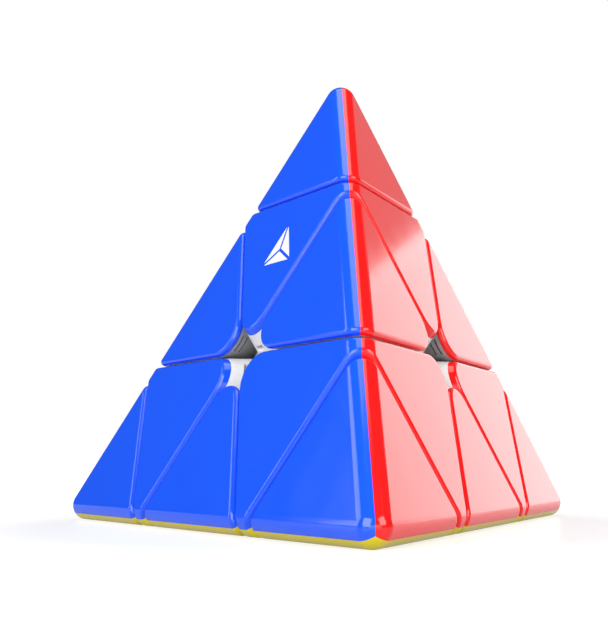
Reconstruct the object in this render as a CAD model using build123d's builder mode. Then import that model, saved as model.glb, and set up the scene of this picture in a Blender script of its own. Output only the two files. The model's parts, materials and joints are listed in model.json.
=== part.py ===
from build123d import *

# Pyramid twisty puzzle: four turning corners, each with its own turning tip, and six edge pieces, all round
# a ball core with four arms. Every outer piece is a moulded body that carries one coloured cap for each
# face of the pyramid it shows on. Millimetres, +Z up. The origin is the middle of the base face, which the
# puzzle stands on, and the front corner points along -Y.

from itertools import combinations
from math import acos, cos, degrees, radians, sin, sqrt
import os

# ---------------------------------------------------------------- driving dimensions
SHARP_EDGE = 106.0  # edge of the pyramid before its edges are rounded
EDGE_ROUND = 2.75  # radius of the rounded pyramid edges
SEAM = 0.36  # clear gap between neighbouring pieces
CONTOUR_ROUND = 0.8  # small radius round every coloured face
CENTRE_ROUND = 4.9  # radius of the piece corners that meet in the middle of each face

CAP_THICKNESS = 1.2
LIP_INRADIUS = 3.1  # triangular lip under each cap, pressed into a pocket of the body
LIP_WALL = 1.0
LIP_HEIGHT = 2.2
LIP_ROUND = 1.2
POCKET_DEPTH = 2.6
PRESS_PLAY = 0.04
TIP_LIP_SHIFT = 4.9  # towards the tip's floor, clear of the spring
TAB_FROM_CORNER = 9.4  # snap tab, measured from the middle of the face
TAB_WIDTH = 3.6
TAB_THICKNESS = 1.2
TAB_HEIGHT = 1.5
# Windows through the wall in front of a tab: depth under the cap, height and length. An edge piece has two
# slits, the first of which shows the tab. A corner piece has one opening under the tab.
EDGE_WINDOWS = ((0.75, 0.35, 3.2), (2.0, 0.3, 3.2))
CORNER_WINDOWS = ((1.75, 0.8, 2.2),)

SHELL_RADIUS = 17.0  # the bodies end on this sphere, and the feet turn inside it
SHELL_CLEARANCE = 0.15  # each side
FOOT_CUT = 2.6  # from the middle of the core to the planes that part the feet, below the corners' own
BALL_RADIUS = 8.5
BALL_CLEARANCE = 0.3
NECK_OVERLAP = 1.0

ARM_RADIUS = 3.5
ARM_END = 34.0
ARM_PLAY = 0.06
JOURNAL_RADIUS = 2.5
JOURNAL_SHORT_OF_FLOOR = 0.1
BEARING_RING_HEIGHT = 0.28
BEARING_RING_WIDTH = 1.5
TIP_FLOOR = 1.5
TIP_CAVITY_RADIUS = 3.9

SPRING_LENGTH = 5.0
SPRING_RADIUS = 2.8  # to the middle of the wire
SPRING_WIRE_RADIUS = 0.4
SPRING_TURNS = 4
WASHER_RADIUS = 3.1
WASHER_THICKNESS = 0.5
SCREW_RADIUS = 1.28
SCREW_LENGTH = 16.0
SCREW_HOLE_PLAY = 0.03
SCREW_HEAD_RADIUS = 2.7
SCREW_HEAD_HEIGHT = 1.8
CROSS_WIDTH = 0.7
CROSS_DEPTH = 1.1

# ---------------------------------------------------------------- worked out from them
HEIGHT = SHARP_EDGE * sqrt(2 / 3)
FACE_DISTANCE = HEIGHT / 4  # from the middle of the core to every face
LAYER_CUT = HEIGHT / 12  # to the plane under a turning corner
TIP_CUT = HEIGHT * 5 / 12  # to the plane under a tip
HALF_SEAM = SEAM / 2
STOCK = 3 * SHARP_EDGE
INNER_FACE = FACE_DISTANCE - CAP_THICKNESS
CELL_RADIUS = SHARP_EDGE / 3 / sqrt(3)  # middle of a piece's triangle to that triangle's corners
VERTEX_RADIUS = SHARP_EDGE / sqrt(3)  # middle of a face to the pyramid's corners

TIP_FLOOR_TOP = TIP_CUT + HALF_SEAM + TIP_FLOOR
WASHER_START = TIP_FLOOR_TOP + SPRING_LENGTH
HEAD_START = WASHER_START + WASHER_THICKNESS
SCREW_END = HEAD_START - SCREW_LENGTH
JOURNAL_END = TIP_FLOOR_TOP - JOURNAL_SHORT_OF_FLOOR

# ---------------------------------------------------------------- directions
# A corner's own frame has its axis along +Z. Its neighbours' axes stand at these azimuths, all at the same
# slope. The top corner's own frame is also the frame of the whole puzzle, moved up to the core.
BETWEEN_CORNERS = degrees(acos(-1 / 3))
NEIGHBOUR_AZIMUTHS = {"front": -90, "right": 30, "left": 150}


def sloping_axis(azimuth):
    slope = radians(BETWEEN_CORNERS)
    turn = radians(azimuth)
    return Vector(sin(slope) * cos(turn), sin(slope) * sin(turn), cos(slope))


OWN_AXIS = Vector(0, 0, 1)
NEIGHBOURS = [sloping_axis(azimuth) for azimuth in NEIGHBOUR_AZIMUTHS.values()]
CORNER_AXES = dict(zip(["top", *NEIGHBOUR_AZIMUTHS], [OWN_AXIS, *NEIGHBOURS]))
FACE_COLOURS = {"front": "green", "right": "blue", "left": "red", "top": "yellow"}  # opposite that corner

# An edge piece's own frame has +Z out through the middle of the pyramid's edge, which runs along X.
HALF_SLOPE = radians(BETWEEN_CORNERS / 2)
ENDS = [Vector(-sin(HALF_SLOPE), 0, cos(HALF_SLOPE)), Vector(sin(HALF_SLOPE), 0, cos(HALF_SLOPE))]
SIDES = [Vector(0, -sin(HALF_SLOPE), -cos(HALF_SLOPE)), Vector(0, sin(HALF_SLOPE), -cos(HALF_SLOPE))]


# ---------------------------------------------------------------- shared shapes
def below(axis, distance):
    """Trims the part in hand to what lies less than distance along axis."""
    split(bisect_by=Plane(origin=axis * distance, z_dir=axis), keep=Keep.BOTTOM)


def above(axis, distance):
    """Trims the part in hand to what lies more than distance along axis."""
    split(bisect_by=Plane(origin=axis * distance, z_dir=axis), keep=Keep.TOP)


def pyramid(axes, face_distance, edge_round):
    with BuildPart() as solid:
        Box(STOCK, STOCK, STOCK)
        for axis in axes:
            below(-axis, face_distance)
        fillet(solid.edges(), radius=edge_round)
    return solid.part


def foot_region(radius, inside, outside):
    """Ball-shaped layer round the core, on the far side of the inside axes' foot planes only."""
    with BuildPart() as region:
        Sphere(radius)
        Sphere(BALL_RADIUS + BALL_CLEARANCE, mode=Mode.SUBTRACT)
        for axis in inside:
            above(axis, FOOT_CUT + HALF_SEAM)
        for axis in outside:
            below(axis, FOOT_CUT - HALF_SEAM)
    return region.part


def is_skin(face, axes):
    """True for a face on the outside of the pyramid, flat or rounded."""
    if face.geom_type == GeomType.PLANE:
        middle = face.center()
        return any(abs(-axis.dot(middle) - FACE_DISTANCE) < 1e-3 for axis in axes)
    return face.radius is not None and abs(face.radius - EDGE_ROUND) < 1e-3


def contour(solid, axes):
    """The edges where the outside of the pyramid meets the walls of the seams."""
    skin = solid.faces().filter_by(lambda face: is_skin(face, axes))
    walls = solid.faces().filter_by(lambda face: not is_skin(face, axes))
    return skin.edges() & walls.edges()


def wedge_lines(solid, cut_axes, distance):
    """The edges where two walls of the seams meet."""
    def on_two_walls(edge):
        return sum(abs(axis.dot(edge.center()) - distance) < 1e-3 for axis in cut_axes) == 2
    return solid.edges().filter_by(on_two_walls)


def body_shape(whole, axes, inside, outside):
    """A piece without its caps: the part under the caps, a neck, and a foot inside the shell."""
    with BuildPart() as neck:
        add(whole)
        add(foot_region(SHELL_RADIUS + NECK_OVERLAP, inside, outside), mode=Mode.INTERSECT)
    with BuildPart() as body:
        add(whole)
        add(pyramid(axes, INNER_FACE, EDGE_ROUND - CAP_THICKNESS), mode=Mode.INTERSECT)
        Sphere(SHELL_RADIUS + SHELL_CLEARANCE, mode=Mode.SUBTRACT)
        add(neck.part)
        add(foot_region(SHELL_RADIUS - SHELL_CLEARANCE, inside, outside))
    return body.part


# ---------------------------------------------------------------- whole pieces, before they are split
def corner_whole():
    with BuildPart() as solid:
        add(pyramid([OWN_AXIS, *NEIGHBOURS], FACE_DISTANCE, EDGE_ROUND))
        above(OWN_AXIS, LAYER_CUT + HALF_SEAM)
        below(OWN_AXIS, TIP_CUT - HALF_SEAM)
        for axis in NEIGHBOURS:
            below(axis, LAYER_CUT - HALF_SEAM)
        fillet(wedge_lines(solid, NEIGHBOURS, LAYER_CUT - HALF_SEAM), radius=CENTRE_ROUND)
        fillet(contour(solid, [OWN_AXIS, *NEIGHBOURS]), radius=CONTOUR_ROUND)
    return solid.part


def tip_whole():
    with BuildPart() as solid:
        add(pyramid([OWN_AXIS, *NEIGHBOURS], FACE_DISTANCE, EDGE_ROUND))
        above(OWN_AXIS, TIP_CUT + HALF_SEAM)
        fillet(contour(solid, [OWN_AXIS, *NEIGHBOURS]), radius=CONTOUR_ROUND)
    return solid.part


def edge_whole():
    with BuildPart() as solid:
        add(pyramid([*ENDS, *SIDES], FACE_DISTANCE, EDGE_ROUND))
        for axis in ENDS:
            above(axis, LAYER_CUT + HALF_SEAM)
        fillet(wedge_lines(solid, ENDS, LAYER_CUT + HALF_SEAM), radius=CENTRE_ROUND)
        fillet(contour(solid, [*ENDS, *SIDES]), radius=CONTOUR_ROUND)
    return solid.part


# ---------------------------------------------------------------- caps and how they hold on
def cell_plane(face_axis, towards, reach, key_sign):
    """Plane on the inner side of a cap, in the middle of its triangle, +Z outwards along face_axis.

    The triangle lies at reach from the middle of the face, in the direction that towards has on the face.
    +X points at one of the triangle's corners: key_sign 1 is the outer one, -1 the one nearest the middle.
    """
    flat = (towards - face_axis * towards.dot(face_axis)).normalized()
    return Plane(origin=face_axis * INNER_FACE + flat * reach, x_dir=flat * key_sign, z_dir=face_axis)


def triangle(inradius, corner_round):
    """Rounded triangle in the sketch in hand, one corner towards +X."""
    outline = [(2 * inradius * cos(radians(a)), 2 * inradius * sin(radians(a))) for a in (0, 120, 240)]
    with BuildSketch(Plane.XY, mode=Mode.PRIVATE) as shape:
        Polygon(*outline, align=None)
        fillet(shape.vertices(), radius=corner_round)
    add(shape.sketch)


def cap(whole, axes, face_axis, plane, lip_shift, has_tab):
    """Coloured cap: the skin over one face, mitred to its neighbours, with a lip and a snap tab."""
    with BuildPart() as part:
        add(whole)
        add(pyramid(axes, INNER_FACE, EDGE_ROUND - CAP_THICKNESS), mode=Mode.SUBTRACT)
        for axis in axes:
            if (axis + face_axis).length > 1e-6:
                above((face_axis + axis).normalized(), 0)
        with BuildSketch(plane.shift_origin(plane.from_local_coords((lip_shift, 0, 0)))):
            triangle(LIP_INRADIUS - PRESS_PLAY, LIP_ROUND)
            with BuildSketch(mode=Mode.PRIVATE) as hollow:
                triangle(LIP_INRADIUS - PRESS_PLAY - LIP_WALL, LIP_ROUND / 2)
            add(hollow.sketch, mode=Mode.SUBTRACT)
        extrude(amount=-LIP_HEIGHT)
        if has_tab:
            with BuildSketch(plane):
                with Locations((CELL_RADIUS - TAB_FROM_CORNER, 0)):
                    Rectangle(TAB_THICKNESS, TAB_WIDTH)
            extrude(amount=-TAB_HEIGHT)
    return part.part


def cut_cap_seat(plane, lip_shift, windows):
    """Pocket for a cap's lip and, at a corner in the middle of a face, the tab's slot and its windows."""
    with BuildSketch(plane.shift_origin(plane.from_local_coords((lip_shift, 0, 0)))) as pocket:
        triangle(LIP_INRADIUS, LIP_ROUND)
    extrude(pocket.sketch, amount=-POCKET_DEPTH, mode=Mode.SUBTRACT)
    if windows:
        with BuildSketch(plane) as slot:
            with Locations((CELL_RADIUS - TAB_FROM_CORNER, 0)):
                Rectangle(TAB_THICKNESS + 2 * PRESS_PLAY, TAB_WIDTH + 2 * PRESS_PLAY)
        extrude(slot.sketch, amount=-TAB_HEIGHT - PRESS_PLAY, mode=Mode.SUBTRACT)
    for depth, height, length in windows:
        with BuildSketch(plane.offset(-depth)) as window:
            with Locations((CELL_RADIUS - TAB_FROM_CORNER, 0)):
                Rectangle(TAB_FROM_CORNER, length, align=(Align.MIN, Align.CENTER))
        extrude(window.sketch, amount=-height, mode=Mode.SUBTRACT)


def corner_plane(neighbour):
    return cell_plane(-neighbour, OWN_AXIS, CELL_RADIUS, -1)


def tip_plane(neighbour):
    return cell_plane(-neighbour, OWN_AXIS, VERTEX_RADIUS - CELL_RADIUS, 1)


def edge_plane(side):
    return cell_plane(-side, Vector(0, 0, 1), CELL_RADIUS, -1)


# ---------------------------------------------------------------- bodies
def corner_body(whole):
    with BuildPart() as body:
        add(body_shape(whole, [OWN_AXIS, *NEIGHBOURS], [OWN_AXIS], NEIGHBOURS))
        with BuildSketch(Plane.XY.offset(TIP_CUT - HALF_SEAM)):
            Circle(ARM_RADIUS + BEARING_RING_WIDTH)
        extrude(amount=BEARING_RING_HEIGHT)
        Cylinder(ARM_RADIUS + ARM_PLAY, STOCK, mode=Mode.SUBTRACT)
        for neighbour in NEIGHBOURS:
            cut_cap_seat(corner_plane(neighbour), 0, CORNER_WINDOWS)
    return body.part


def tip_body(whole):
    with BuildPart() as body:
        add(whole)
        add(pyramid([OWN_AXIS, *NEIGHBOURS], INNER_FACE, EDGE_ROUND - CAP_THICKNESS), mode=Mode.INTERSECT)
        Cylinder(JOURNAL_RADIUS + ARM_PLAY, STOCK, mode=Mode.SUBTRACT)
        with BuildSketch(Plane.XY.offset(TIP_FLOOR_TOP)):
            Circle(TIP_CAVITY_RADIUS)
        extrude(amount=STOCK, mode=Mode.SUBTRACT)
        for neighbour in NEIGHBOURS:
            cut_cap_seat(tip_plane(neighbour), -TIP_LIP_SHIFT, ())
    return body.part


def edge_body(whole):
    with BuildPart() as body:
        add(body_shape(whole, [*ENDS, *SIDES], ENDS, SIDES))
        for side in SIDES:
            cut_cap_seat(edge_plane(side), 0, EDGE_WINDOWS)
    return body.part


# ---------------------------------------------------------------- core and its hardware
def core():
    """Ball with four arms; each arm ends in a thinner journal with a blind hole for the screw."""
    with BuildPart() as body:
        Sphere(BALL_RADIUS)
        for axis in CORNER_AXES.values():
            outwards = Plane(origin=(0, 0, 0), z_dir=axis)
            with BuildSketch(outwards):
                Circle(ARM_RADIUS)
            extrude(amount=ARM_END)
            with BuildSketch(outwards):
                Circle(JOURNAL_RADIUS)
            extrude(amount=JOURNAL_END)
        for axis in CORNER_AXES.values():
            with BuildSketch(Plane(origin=axis * SCREW_END, z_dir=axis)):
                Circle(SCREW_RADIUS + SCREW_HOLE_PLAY)
            extrude(amount=STOCK, mode=Mode.SUBTRACT)
    return body.part


def screw():
    """Pan-head screw with a cross recess."""
    with BuildPart() as part:
        with BuildSketch(Plane.XY.offset(HEAD_START)):
            Circle(SCREW_HEAD_RADIUS)
        extrude(amount=SCREW_HEAD_HEIGHT)
        rim = part.edges().filter_by(GeomType.CIRCLE).sort_by(Axis.Z)[-1]
        fillet(rim, radius=SCREW_HEAD_HEIGHT / 2)
        with BuildSketch(Plane.XY.offset(HEAD_START + SCREW_HEAD_HEIGHT)):
            Rectangle(CROSS_WIDTH, SCREW_HEAD_RADIUS)
            Rectangle(SCREW_HEAD_RADIUS, CROSS_WIDTH)
        extrude(amount=-CROSS_DEPTH, mode=Mode.SUBTRACT)
        with BuildSketch(Plane.XY.offset(SCREW_END)):
            Circle(SCREW_RADIUS)
        extrude(amount=SCREW_LENGTH)
    return part.part


def washer():
    with BuildPart() as part:
        with BuildSketch(Plane.XY.offset(WASHER_START)):
            Circle(WASHER_RADIUS)
            Circle(SCREW_RADIUS + ARM_PLAY, mode=Mode.SUBTRACT)
        extrude(amount=WASHER_THICKNESS)
    return part.part


def spring():
    """Helical spring between the tip's floor and the washer."""
    rise = SPRING_LENGTH - 2 * SPRING_WIRE_RADIUS - 2 * PRESS_PLAY
    bottom = TIP_FLOOR_TOP + SPRING_WIRE_RADIUS + PRESS_PLAY
    with BuildPart() as part:
        with BuildLine(Plane.XY.offset(bottom)):
            coil = Helix(pitch=rise / SPRING_TURNS, height=rise, radius=SPRING_RADIUS)
        with BuildSketch(Plane(origin=coil @ 0, z_dir=coil % 0)):
            Circle(SPRING_WIRE_RADIUS)
        sweep(is_frenet=True)
    return part.part


# ---------------------------------------------------------------- placing and writing
def corner_place(name):
    """Where a corner's own frame stands in the finished puzzle."""
    axis = CORNER_AXES[name]
    first = next(other for key, other in CORNER_AXES.items() if key != name)
    side = first.cross(axis).normalized()
    return Plane(origin=(0, 0, FACE_DISTANCE), x_dir=-side, z_dir=axis).location


def edge_place(first, second):
    """Where an edge piece's own frame stands, between two named corners."""
    outwards = (CORNER_AXES[first] + CORNER_AXES[second]).normalized()
    along = (CORNER_AXES[second] - CORNER_AXES[first]).normalized()
    return Plane(origin=(0, 0, FACE_DISTANCE), x_dir=along, z_dir=outwards).location


def colour_of(place, axis):
    """Colour of the face opposite the corner whose axis, in the piece's own frame, is axis."""
    turned = Plane(place).from_local_coords(axis) - Vector(0, 0, FACE_DISTANCE)
    name = max(CORNER_AXES, key=lambda key: CORNER_AXES[key].dot(turned))
    return FACE_COLOURS[name]


def write(label, piece, places):
    """Writes a node: one copy of the piece at each place."""
    with BuildPart() as placed:
        with Locations(*places):
            add(piece)
    placed.part.label = label
    export_step(placed.part, f"parts/{label}.step")


def write_capped(label, place, body, caps, cap_axes):
    """Writes a body and its caps at one place, each cap named after its colour."""
    write(f"{label}_body", body, [place])
    for piece, axis in zip(caps, cap_axes):
        write(f"{label}_cap_{colour_of(place, axis)}", piece, [place])


os.makedirs("parts", exist_ok=True)

corner_places = {name: corner_place(name) for name in CORNER_AXES}
pyramid_axes = [OWN_AXIS, *NEIGHBOURS]

write("core", core(), [Location((0, 0, FACE_DISTANCE))])
write("axle_screws", screw(), corner_places.values())
write("screw_washers", washer(), corner_places.values())
write("tension_springs", spring(), corner_places.values())

corner = corner_whole()
corner_caps = [cap(corner, pyramid_axes, -axis, corner_plane(axis), 0, True) for axis in NEIGHBOURS]
corner_inner = corner_body(corner)
tip = tip_whole()
tip_caps = [cap(tip, pyramid_axes, -axis, tip_plane(axis), -TIP_LIP_SHIFT, False) for axis in NEIGHBOURS]
tip_inner = tip_body(tip)
for name, place in corner_places.items():
    write_capped(f"{name}_corner", place, corner_inner, corner_caps, NEIGHBOURS)
    write_capped(f"{name}_tip", place, tip_inner, tip_caps, NEIGHBOURS)

edge = edge_whole()
edge_caps = [cap(edge, [*ENDS, *SIDES], -axis, edge_plane(axis), 0, True) for axis in SIDES]
edge_inner = edge_body(edge)
for first, second in combinations(CORNER_AXES, 2):
    write_capped(f"{first}_{second}_edge", edge_place(first, second), edge_inner, edge_caps, SIDES)
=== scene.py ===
import json
from math import cos, radians, sin, sqrt

import bpy
from bpy.props import FloatProperty, FloatVectorProperty, PointerProperty, StringProperty
from bpy.types import Operator, Panel, PropertyGroup
from mathutils import Matrix, Vector


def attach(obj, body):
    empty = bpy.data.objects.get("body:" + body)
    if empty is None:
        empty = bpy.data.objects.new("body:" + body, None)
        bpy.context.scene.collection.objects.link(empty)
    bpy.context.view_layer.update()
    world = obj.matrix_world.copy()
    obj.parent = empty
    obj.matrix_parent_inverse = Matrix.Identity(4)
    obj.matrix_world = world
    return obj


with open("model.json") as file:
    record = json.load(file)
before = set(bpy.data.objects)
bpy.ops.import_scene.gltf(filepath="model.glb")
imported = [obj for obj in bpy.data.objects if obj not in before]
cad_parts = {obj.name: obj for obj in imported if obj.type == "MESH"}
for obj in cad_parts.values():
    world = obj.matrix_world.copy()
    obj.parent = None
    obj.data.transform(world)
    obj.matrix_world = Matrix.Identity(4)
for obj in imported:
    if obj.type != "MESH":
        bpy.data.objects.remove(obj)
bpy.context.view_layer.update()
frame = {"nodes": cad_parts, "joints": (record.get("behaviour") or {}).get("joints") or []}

bl_info = {
    "name": "Pyramid Twisty Puzzle",
    "version": (1, 0, 0),
    "blender": (4, 5, 0),
    "location": "View3D > Sidebar > Pyramid Puzzle",
    "description": "Gives the packed pyramid puzzle its plastics, steel, printed mark and studio",
    "category": "Object",
}

MM = 0.001

AXES = {
    joint["name"].removesuffix("_layer_turn"): Vector(joint["axis"]).normalized()
    for joint in frame["joints"]
    if joint["name"].endswith("_layer_turn")
}
CORE = Vector(frame["joints"][0]["pos_m"])  # every axis passes through the middle of the core
FACE_DISTANCE = CORE.z  # from the middle of the core to each face
SHARP_EDGE = FACE_DISTANCE * 4 / sqrt(2 / 3)  # edge of the pyramid before its edges are rounded
CELL_RADIUS = SHARP_EDGE / 3 / sqrt(3)  # from the middle of a piece's triangle to that triangle's corners


def linear(hex_colour):
    """Linear RGBA of an sRGB hex colour."""
    channels = [int(hex_colour[i:i + 2], 16) / 255 for i in (1, 3, 5)]
    return [c / 12.92 if c <= 0.04045 else ((c + 0.055) / 1.055) ** 2.4 for c in channels] + [1.0]


# ---------------------------------------------------------------- settings
class PlasticSettings(PropertyGroup):
    blue: StringProperty(name="Blue", description="Cap colour, sRGB hex", default="#155CFF")
    red: StringProperty(name="Red", description="Cap colour, sRGB hex", default="#FF1A1A")
    yellow: StringProperty(name="Yellow", description="Cap colour, sRGB hex", default="#EBD812")
    green: StringProperty(name="Green", description="Cap colour, sRGB hex", default="#0FA63C")
    corner_body: StringProperty(name="Corner body", description="Moulded body, sRGB hex", default="#F8F8F6")
    edge_body: StringProperty(name="Edge body", description="Moulded body, sRGB hex", default="#C4C4C6")
    core: StringProperty(name="Core", description="Acetal core, sRGB hex", default="#2A2A2D")
    cap_roughness: FloatProperty(
        name="Cap roughness", description="Roughness of the polished caps", default=0.14, min=0, max=1,
        subtype="FACTOR")


class MarkSettings(PropertyGroup):
    height: FloatProperty(
        name="Height", description="Height of the printed mark", default=8.4 * MM, unit="LENGTH")
    rise: FloatProperty(
        name="Rise", description="Middle of the mark above the middle of its cap", default=-0.7 * MM,
        unit="LENGTH")
    sidestep: FloatProperty(
        name="Sidestep", description="Middle of the mark right of the middle of its cap", default=1.7 * MM,
        unit="LENGTH")
    ink_thickness: FloatProperty(
        name="Ink thickness", description="How far the ink stands off the cap", default=0.04 * MM,
        unit="LENGTH")
    line: FloatProperty(
        name="Line", description="Bare line between the mark's fields", default=0.55 * MM, unit="LENGTH")
    ink: StringProperty(name="Ink", description="Print colour, sRGB hex", default="#F7F7F7")


class StageSettings(PropertyGroup):
    lens: FloatProperty(
        name="Lens", description="Focal length on a 36 mm long side", default=60.1, unit="CAMERA")
    azimuth: FloatProperty(
        name="Azimuth", description="Way the camera looks, turned from the front", default=radians(-8.24),
        subtype="ANGLE")
    elevation: FloatProperty(
        name="Elevation", description="Below zero the camera looks up", default=radians(-11.75),
        subtype="ANGLE")
    place: FloatVectorProperty(
        name="Camera place", description="In sharp edges, from the middle of the base",
        default=(-0.1554, -1.7750, 0.1022), size=3)
    shift: FloatVectorProperty(
        name="Shift", description="Lens shift, in long sides", default=(-0.149, -0.103), size=2)
    floor_size: FloatProperty(name="Floor", description="Side of the floor", default=8.0, unit="LENGTH")


class PuzzleSettings(PropertyGroup):
    plastic: PointerProperty(type=PlasticSettings)
    mark: PointerProperty(type=MarkSettings)
    stage: PointerProperty(type=StageSettings)


def settings():
    """The add-on's settings in the scene in hand."""
    return bpy.context.scene.pyramid_puzzle


# ---------------------------------------------------------------- materials
MIX_FACTOR, MIX_A, MIX_B, MIX_RESULT = 0, 6, 7, 2  # a colour Mix node's sockets


def add_node(tree, kind, values=None, links=None, **fields):
    """Adds one node: fields are its settings, values its inputs, links the sources of its inputs."""
    made = tree.nodes.new(kind)
    for field, value in fields.items():
        setattr(made, field, value)
    for name, value in (values or {}).items():
        made.inputs[name].default_value = value
    for name, source in (links or {}).items():
        tree.links.new(source, made.inputs[name])
    return made


def new_material(name, **values):
    """A material with its uniform values on the shader itself. Returns it, its tree, its shader and the
    coordinates that its patterns read."""
    material = bpy.data.materials.new(name)
    material.use_nodes = True
    tree = material.node_tree
    shader = tree.nodes["Principled BSDF"]
    for socket, value in values.items():
        shader.inputs[socket.replace("_", " ")].default_value = value
    place = add_node(tree, "ShaderNodeTexCoord").outputs["Object"]
    return material, tree, shader, place


def grain(tree, place, size_mm, detail=2.0):
    """Noise with features of about size_mm."""
    return add_node(tree, "ShaderNodeTexNoise", {"Scale": 1 / (size_mm * MM), "Detail": detail},
                    {"Vector": place}).outputs["Fac"]


def spread(tree, source, low, high):
    """Takes a noise's middle range to low..high."""
    values = {"From Min": 0.3, "From Max": 0.7, "To Min": low, "To Max": high}
    return add_node(tree, "ShaderNodeMapRange", values, {"Value": source}).outputs["Result"]


def two_tone(tree, factor, first, second):
    """Mixes two linear colours."""
    values = {MIX_A: first, MIX_B: second}
    return add_node(tree, "ShaderNodeMix", values, {MIX_FACTOR: factor}, data_type="RGBA").outputs[MIX_RESULT]


def relief(tree, shader, height, depth_mm, strength):
    """Bump of a real depth."""
    bump = add_node(tree, "ShaderNodeBump", {"Strength": strength, "Distance": depth_mm * MM},
                    {"Height": height})
    tree.links.new(bump.outputs["Normal"], shader.inputs["Normal"])


def shaded(colour, share):
    """The same colour, darker."""
    return [c * share for c in colour[:3]] + [1.0]


def polished_abs(name, hex_colour, roughness):
    """Caps: ABS from a polished mould. An even, saturated colour under a hard gloss, slightly uneven where
    it has been handled, with a very faint ripple where the melt froze."""
    material, tree, shader, place = new_material(name, IOR=1.53, Coat_Weight=0.25, Coat_Roughness=0.06)
    base = linear(hex_colour)
    cloud = grain(tree, place, 16)
    tree.links.new(two_tone(tree, cloud, shaded(base, 0.94), base), shader.inputs["Base Color"])
    smear = grain(tree, place, 5, detail=4)
    tree.links.new(spread(tree, smear, roughness * 0.85, roughness * 1.25), shader.inputs["Roughness"])
    relief(tree, shader, grain(tree, place, 2.2), 0.012, 0.35)
    return material


def satin_abs(name, hex_colour):
    """Inner bodies: ABS from a spark-eroded mould. A dull even skin of fine pits, a little paler where a
    neighbouring piece has rubbed it."""
    material, tree, shader, place = new_material(name, IOR=1.53)
    base = linear(hex_colour)
    rubbed = grain(tree, place, 3.5, detail=3)
    tree.links.new(two_tone(tree, rubbed, shaded(base, 0.86), base), shader.inputs["Base Color"])
    tree.links.new(spread(tree, rubbed, 0.38, 0.52), shader.inputs["Roughness"])
    # The real pits are about 0.03 mm across. They are drawn at 0.25 mm, the finest that shows.
    relief(tree, shader, grain(tree, place, 0.25, detail=1), 0.01, 0.5)
    return material


def acetal(name, hex_colour):
    """Core: acetal, waxy and self-lubricating. Dark, with a soft broad sheen and faint flow marks."""
    material, tree, shader, place = new_material(name, IOR=1.48)
    base = linear(hex_colour)
    flow = grain(tree, place, 7, detail=3)
    tree.links.new(two_tone(tree, flow, shaded(base, 0.8), base), shader.inputs["Base Color"])
    tree.links.new(spread(tree, flow, 0.28, 0.4), shader.inputs["Roughness"])
    relief(tree, shader, flow, 0.02, 0.3)
    return material


def zinc_plated_steel(name):
    """Screws and washers: pressed and rolled steel with bright zinc. A cool grey metal whose crystals make
    the gloss slightly blotchy."""
    material, tree, shader, place = new_material(name, Metallic=1.0)
    crystals = grain(tree, place, 0.6, detail=3)
    bright = linear("#C9CDD2")
    tree.links.new(two_tone(tree, crystals, shaded(bright, 0.8), bright), shader.inputs["Base Color"])
    tree.links.new(spread(tree, crystals, 0.22, 0.4), shader.inputs["Roughness"])
    relief(tree, shader, crystals, 0.004, 0.4)
    return material


def drawn_spring_wire(name):
    """Springs: hard-drawn wire. A darker steel with lines left by the die, too fine to see, drawn as a
    soft mottling, and a thin film of oil."""
    material, tree, shader, place = new_material(name, Metallic=1.0, Coat_Weight=0.3, Coat_Roughness=0.2)
    mottle = grain(tree, place, 0.9, detail=2)
    steel = linear("#A3A5A8")
    tree.links.new(two_tone(tree, mottle, shaded(steel, 0.72), steel), shader.inputs["Base Color"])
    tree.links.new(spread(tree, mottle, 0.2, 0.34), shader.inputs["Roughness"])
    return material


def screen_ink(name, hex_colour):
    """Printed mark: two-part ink. Opaque white, duller than the cap, with a slight orange peel."""
    material, tree, shader, place = new_material(name, IOR=1.5)
    base = linear(hex_colour)
    peel = grain(tree, place, 0.4)
    tree.links.new(two_tone(tree, peel, shaded(base, 0.95), base), shader.inputs["Base Color"])
    tree.links.new(spread(tree, peel, 0.3, 0.4), shader.inputs["Roughness"])
    relief(tree, shader, peel, 0.004, 0.4)
    return material


def studio_floor(name):
    """Floor: sprayed white acrylic sheet that glows as if lit from below, with a painted shadow: it glows
    less round the puzzle. White to the camera, dim to the plastic's gloss, with a soft reflection that blurs
    with distance."""
    material, tree, shader, place = new_material(name, IOR=1.08, Roughness=0.22)
    shader.inputs["Emission Color"].default_value = (1, 1, 1, 1)
    away = add_node(tree, "ShaderNodeVectorMath", None, {0: place}, operation="LENGTH").outputs["Value"]
    # Painted shadow: the glow drops to 0.66 within 5 cm of the middle, under and round the puzzle, and is
    # full from 9 cm out.
    painted_shadow_ramp = {"From Min": 0.05, "From Max": 0.09, "To Min": 0.66, "To Max": 1.0}
    lit = add_node(tree, "ShaderNodeMapRange", painted_shadow_ramp, {"Value": away}).outputs["Result"]
    ray = add_node(tree, "ShaderNodeLightPath").outputs["Is Camera Ray"]
    share = add_node(tree, "ShaderNodeMapRange", {"To Min": 0.3, "To Max": 1.0}, {"Value": ray})
    seen = add_node(tree, "ShaderNodeMath", None, {0: lit, 1: share.outputs["Result"]}, operation="MULTIPLY")
    tree.links.new(seen.outputs["Value"], shader.inputs["Emission Strength"])
    spray = grain(tree, place, 40)
    white = linear("#A8A8AA")
    tree.links.new(two_tone(tree, spray, shaded(white, 0.985), white), shader.inputs["Base Color"])
    return material


# ---------------------------------------------------------------- CAD pieces
def dress(material, wanted):
    """Gives this material to every CAD node whose name wanted accepts."""
    for name, node in frame["nodes"].items():
        if wanted(name):
            node.data.materials.clear()
            node.data.materials.append(material)


class PUZZLE_OT_caps(Operator):
    """Gives the coloured caps their polished plastic"""
    bl_idname = "pyramid_puzzle.caps"
    bl_label = "Caps"

    def execute(self, context):
        plastic = settings().plastic
        for colour in ("blue", "red", "yellow", "green"):
            material = polished_abs(f"polished_abs_{colour}", getattr(plastic, colour), plastic.cap_roughness)
            dress(material, lambda name: name.endswith(f"_cap_{colour}"))
        return {"FINISHED"}


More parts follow.
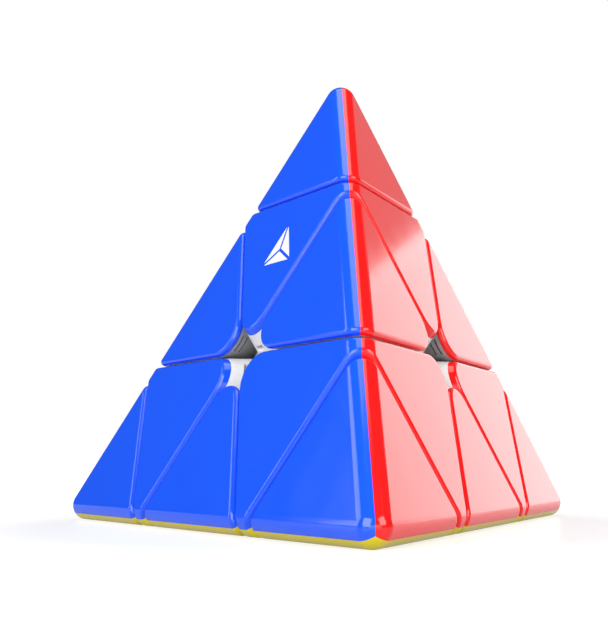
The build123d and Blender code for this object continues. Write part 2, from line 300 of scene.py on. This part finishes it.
class PUZZLE_OT_bodies(Operator):
    """Gives the inner bodies their satin plastic: pale corners and tips, grey edge pieces"""
    bl_idname = "pyramid_puzzle.bodies"
    bl_label = "Inner bodies"

    def execute(self, context):
        plastic = settings().plastic
        pale = satin_abs("satin_abs_pale", plastic.corner_body)
        grey = satin_abs("satin_abs_grey", plastic.edge_body)
        dress(pale, lambda name: name.endswith(("_corner_body", "_tip_body")))
        dress(grey, lambda name: name.endswith("_edge_body"))
        return {"FINISHED"}


class PUZZLE_OT_core(Operator):
    """Gives the core its acetal and the hardware its steel"""
    bl_idname = "pyramid_puzzle.core"
    bl_label = "Core and hardware"

    def execute(self, context):
        dress(acetal("acetal_core", settings().plastic.core), lambda name: name == "core")
        dress(zinc_plated_steel("zinc_plated_steel"), lambda name: name in ("axle_screws", "screw_washers"))
        dress(drawn_spring_wire("drawn_spring_wire"), lambda name: name == "tension_springs")
        return {"FINISHED"}


# ---------------------------------------------------------------- printed mark
def deselect_all():
    """Leaves edit mode and clears the selection, so that an operator acts on its new piece only."""
    if bpy.context.object and bpy.context.object.mode == "EDIT":
        bpy.ops.object.mode_set(mode="OBJECT")
    bpy.ops.object.select_all(action="DESELECT")


class PUZZLE_OT_mark(Operator):
    """Prints a plain three-field triangle on the top corner's blue cap"""
    bl_idname = "pyramid_puzzle.mark"
    bl_label = "Printed mark"

    def execute(self, context):
        mark = settings().mark
        outwards = -AXES["right"]  # the blue face lies opposite the right corner
        upwards = (AXES["top"] - outwards * AXES["top"].dot(outwards)).normalized()
        middle = CORE + outwards * FACE_DISTANCE + upwards * (CELL_RADIUS + mark.rise)
        sideways = upwards.cross(outwards)
        middle += sideways * mark.sidestep
        turn = Matrix((sideways, upwards, outwards)).transposed().to_4x4()
        deselect_all()
        reach = mark.height * 2 / 3
        bpy.ops.mesh.primitive_circle_add(vertices=3, radius=reach, fill_type="TRIFAN", location=(0, 0, 0))
        piece = context.object
        piece.name = "printed_mark"
        bpy.ops.object.mode_set(mode="EDIT")
        bpy.ops.mesh.select_mode(type="FACE")
        bpy.ops.mesh.select_all(action="SELECT")
        bpy.ops.mesh.edge_split(type="EDGE")
        bpy.ops.mesh.inset(thickness=mark.line / 2, use_individual=True)
        bpy.ops.mesh.select_all(action="INVERT")
        bpy.ops.mesh.delete(type="FACE")
        bpy.ops.mesh.select_all(action="SELECT")
        bpy.ops.mesh.extrude_region_move(TRANSFORM_OT_translate={"value": (0, 0, mark.ink_thickness)})
        bpy.ops.mesh.select_all(action="SELECT")
        bpy.ops.mesh.normals_make_consistent(inside=False)
        bpy.ops.object.mode_set(mode="OBJECT")
        piece.matrix_world = Matrix.Translation(middle) @ turn
        bpy.ops.object.transform_apply(location=True, rotation=True, scale=True)
        piece.data.materials.append(screen_ink("screen_ink_white", mark.ink))
        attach(piece, "top_corner")
        return {"FINISHED"}


# ---------------------------------------------------------------- stage
# Name, place in metres, width and height in metres, watts.
SOFTBOXES = (
    ("left_softbox", (-0.45, -0.55, 0.35), (0.6, 0.6), 4.9),
    ("left_panel", (-0.59, 0.125, 0.25), (0.24, 0.45), 0.75),
    ("right_softbox", (0.55, -0.45, 0.40), (0.5, 0.5), 3.6),
    ("back_right_panel", (0.40, 0.45, 0.145), (0.32, 0.29), 0.58),
    ("upper_right_panel", (0.40, 0.45, 0.40), (0.32, 0.22), 0.08),
    ("top_softbox", (0.0, 0.0, 0.9), (0.6, 0.6), 2.5),
    ("low_fill", (0.12, -0.75, 0.10), (0.9, 0.18), 0.9),
)


def soft_light(name, place, size, power):
    """A rectangular softbox that faces the puzzle."""
    data = bpy.data.lights.new(name, "AREA")
    data.shape = "RECTANGLE"
    data.size, data.size_y = size
    data.energy = power
    light = bpy.data.objects.new(name, data)
    bpy.context.scene.collection.objects.link(light)
    light.location = place
    aim = CORE - light.location
    light.rotation_euler = aim.to_track_quat("-Z", "Y").to_euler()


def white_surround():
    """White behind the puzzle, and a dimmer, even light from it."""
    world = bpy.data.worlds.new("studio")
    bpy.context.scene.world = world
    world.use_nodes = True
    tree = world.node_tree
    tree.nodes.clear()
    seen = add_node(tree, "ShaderNodeBackground", {"Color": (1, 1, 1, 1), "Strength": 1.0})
    lit = add_node(tree, "ShaderNodeBackground", {"Color": (1, 1, 1, 1), "Strength": 0.06})
    ray = add_node(tree, "ShaderNodeLightPath")
    mix = add_node(tree, "ShaderNodeMixShader", {}, {0: ray.outputs["Is Camera Ray"], 1: lit.outputs[0],
                                                      2: seen.outputs[0]})
    add_node(tree, "ShaderNodeOutputWorld", {}, {"Surface": mix.outputs[0]})


def make_camera(stage):
    """The camera, at the place and angle in the stage's settings."""
    data = bpy.data.cameras.new("camera")
    data.lens = stage.lens
    data.sensor_width = 36
    data.shift_x, data.shift_y = stage.shift
    data.clip_start = 0.01
    data.clip_end = 50
    camera = bpy.data.objects.new("camera", data)
    bpy.context.scene.collection.objects.link(camera)
    back = Vector((sin(stage.azimuth) * cos(stage.elevation), -cos(stage.azimuth) * cos(stage.elevation),
                   sin(stage.elevation)))
    across = Vector((0, 0, 1)).cross(back).normalized()
    turn = Matrix((across, back.cross(across), back)).transposed().to_4x4()
    camera.matrix_world = Matrix.Translation(Vector(stage.place) * SHARP_EDGE) @ turn
    bpy.context.scene.camera = camera


class PUZZLE_OT_stage(Operator):
    """Makes the floor, the surround, the softboxes and the camera"""
    bl_idname = "pyramid_puzzle.stage"
    bl_label = "Stage"

    def execute(self, context):
        stage = settings().stage
        context.scene.view_settings.view_transform = "Standard"
        deselect_all()
        bpy.ops.mesh.primitive_plane_add(size=stage.floor_size, location=(0, 0, 0))
        floor = context.object
        floor.name = "floor"
        floor.data.materials.append(studio_floor("white_acrylic_floor"))
        white_surround()
        for softbox in SOFTBOXES:
            soft_light(*softbox)
        make_camera(stage)
        return {"FINISHED"}


class PUZZLE_PT_panel(Panel):
    """Lists the puzzle's settings and makers"""
    bl_idname = "PUZZLE_PT_panel"
    bl_label = "Pyramid Puzzle"
    bl_space_type = "VIEW_3D"
    bl_region_type = "UI"
    bl_category = "Pyramid Puzzle"

    def draw(self, context):
        for group in (settings().plastic, settings().mark, settings().stage):
            box = self.layout.box()
            for field in group.__annotations__:
                box.prop(group, field)
        for operator in OPERATORS:
            self.layout.operator(operator.bl_idname)


OPERATORS = (PUZZLE_OT_caps, PUZZLE_OT_bodies, PUZZLE_OT_core, PUZZLE_OT_mark, PUZZLE_OT_stage)
CLASSES = (PlasticSettings, MarkSettings, StageSettings, PuzzleSettings, *OPERATORS, PUZZLE_PT_panel)


def register():
    for cls in CLASSES:
        bpy.utils.register_class(cls)
    bpy.types.Scene.pyramid_puzzle = PointerProperty(type=PuzzleSettings)


def unregister():
    del bpy.types.Scene.pyramid_puzzle
    for cls in reversed(CLASSES):
        bpy.utils.unregister_class(cls)


def main():
    register()
    bpy.ops.pyramid_puzzle.caps()
    bpy.ops.pyramid_puzzle.bodies()
    bpy.ops.pyramid_puzzle.core()
    bpy.ops.pyramid_puzzle.mark()
    bpy.ops.pyramid_puzzle.stage()


if __name__ == "__main__":
    main()
